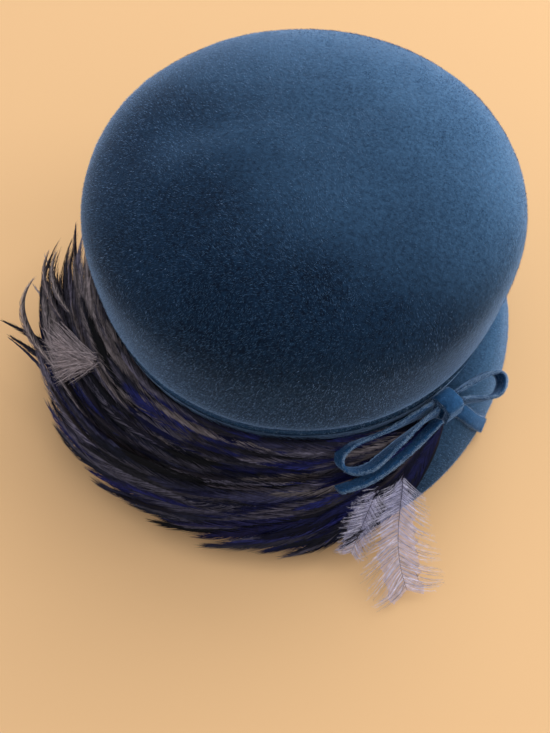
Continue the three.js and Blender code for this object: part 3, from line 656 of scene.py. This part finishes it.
# The vane is a clear film of close barbs near the shaft, and separate wisps beyond it
def makeDown(node, facts):
    rng = np.random.default_rng(facts["seed"])
    wisps, film = FeatherHeap(), FeatherHeap()
    steps = downMake["points"]
    path = smoothRoute(facts["route"], steps)
    share = np.linspace(0, 1, steps)
    tangent, across, normal = featherAxes(path)
    half = np.interp(share, np.linspace(0, 1, len(facts["width"])), facts["width"])
    length = pathLength(path)
    thick = downMake["shaft"] * (1 - downMake["shaftTaper"] * share[:, None])
    shaftTone = np.repeat(downTone["shaft"][None], steps, 0)
    addShaft(wisps, path + normal * downMake["shaftLift"], across, normal, thick, shaftTone)

    columns = np.linspace(-1, 1, downFilm["columns"]) * facts["film"]
    sheer = (half * np.clip(downFilm["rootShare"] + share * downFilm["opens"], 0, 1))[:, None]
    ragged = rng.uniform(*downFilm["ragged"], (steps, len(columns)))
    ripple = np.sin(columns * downFilm["rippleAcross"] + share[:, None] * downFilm["rippleAlong"])
    vane = path[:, None] + across[:, None] * (sheer * columns * ragged)[..., None]
    vane = vane + tangent[:, None] * (np.abs(columns) * sheer * downFilm["ahead"])[..., None]
    vane = (vane + normal[:, None] * (downFilm["ripple"] * ripple)[..., None]).reshape(-1, 3)
    film.add(vane, gridFaces(steps, len(columns)), np.repeat(downTone["film"][None], len(vane), 0))

    t = np.linspace(0, 1, downBarb["points"])
    wide = (downBarb["halfWidth"] * (1 - downBarb["taper"] * t))[:, None]
    hairs = downHair["count"]
    for hand in (-1, 1):
        for index in range(facts["barbs"]):
            begin = downBarb["from"] + downBarb["span"] * index / facts["barbs"] + rng.normal(0, downBarb["stagger"])
            reach = np.interp(begin, share, half) * rng.uniform(*downBarb["reach"])
            where = begin + t * rng.uniform(*downBarb["ahead"]) * (1 - downBarb["slowing"] * t)
            inside = np.clip(where, 0, 1)
            spine, ahead, side, rise = (readAlong(share, v, inside) for v in (path, tangent, across, normal))
            wave = t * rng.uniform(*downBarb["waveTurn"]) + rng.uniform(*downBarb["waveStart"])
            wave = downBarb["wave"] * np.sin(wave) * t
            line = spine + ahead * (np.maximum(where - 1, 0) * length * downBarb["beyondTip"])[:, None]
            line = line + side * (hand * reach * t ** downBarb["open"])[:, None]
            line = line + rise * (wave + rng.normal(*downBarb["curl"]) * t ** 2)[:, None]
            direction = unit(np.gradient(line, axis=0))
            flat = unit(np.cross(direction, rise))
            ribbon = np.stack([line - flat * wide, line + flat * wide], 1).reshape(-1, 3)
            tone = downTone["barb"] * rng.choice(downBarb["tones"])
            wisps.add(ribbon, gridFaces(len(t), 2), np.repeat(tone[None], len(ribbon), 0))
            spot = rng.uniform(downHair["from"], 1, hairs)
            base, lead, wing = (readAlong(t, v, spot) for v in (line, direction, flat))
            swing = np.where(rng.random(hairs) < 0.5, -1, 1)[:, None]
            tips = base + (lead * downHair["ahead"] + wing * swing * downHair["aside"]) * rng.uniform(
                *downHair["length"], (hairs, 1))
            thin = wing * downHair["halfWidth"]
            points = np.stack([base - thin, base + thin, tips], 1).reshape(-1, 3)
            wisps.add(points, np.arange(len(points)).reshape(-1, 3), np.repeat(tone[None], len(points), 0))
    piece = newPiece(node + "_barbs", wisps.mesh(node + "_barbs"), paleDown)
    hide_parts(node)
    newPiece(node + "_vane", film.mesh(node + "_vane"), clearDown)


for node, facts in downFeathers.items():
    makeDown(node, facts)
print("stage: down feathers made")


# Floor and soft light; a matt painted table top only takes soft shadows, with no shine
floorFacts = {"halfSide": 3.0, "surface": {"Base Color": (*toLinear("dfb685"), 1), "Roughness": 0.8,
                                           "Specular IOR Level": 0.05}}
floorMaterial, _ = newMaterial("pale warm table", floorFacts["surface"])
floorMesh = bpy.data.meshes.new("floor")
work = bmesh.new()
bmesh.ops.create_grid(work, x_segments=1, y_segments=1, size=floorFacts["halfSide"])
work.to_mesh(floorMesh)
work.free()
floor = bpy.data.objects.new("floor", floorMesh)
scene.collection.objects.link(floor)
floor.data.materials.append(floorMaterial)

lights = [
    {"name": "window", "at": (1.3, 3.5, 2.3), "aim": (0.0, 0.0, 0.08), "size": 4.0, "power": 185.0, "hex": "ffffff"},
    {"name": "right", "at": (1.1, 0.3, 0.6), "aim": (0.0, 0.0, 0.05), "size": 0.6, "power": 4.0, "hex": "ffffff"},
]
for facts in lights:
    lamp = bpy.data.objects.new(facts["name"], bpy.data.lights.new(facts["name"], "AREA"))
    scene.collection.objects.link(lamp)
    lamp.data.size = facts["size"]
    lamp.data.energy = facts["power"]
    lamp.data.color = toLinear(facts["hex"])
    lamp.location = facts["at"]
    lamp.rotation_euler = (Vector(facts["aim"]) - Vector(facts["at"])).to_track_quat("-Z", "Y").to_euler()
roomLight = {"hex": "fbfaff", "strength": 0.77}
world = bpy.data.worlds.new("room")
scene.world = world
world.use_nodes = True
sky = world.node_tree.nodes["Background"]
sky.inputs["Color"].default_value = (*toLinear(roomLight["hex"]), 1)
sky.inputs["Strength"].default_value = roomLight["strength"]
scene.view_settings.view_transform = "Standard"
print("stage: floor and light made")
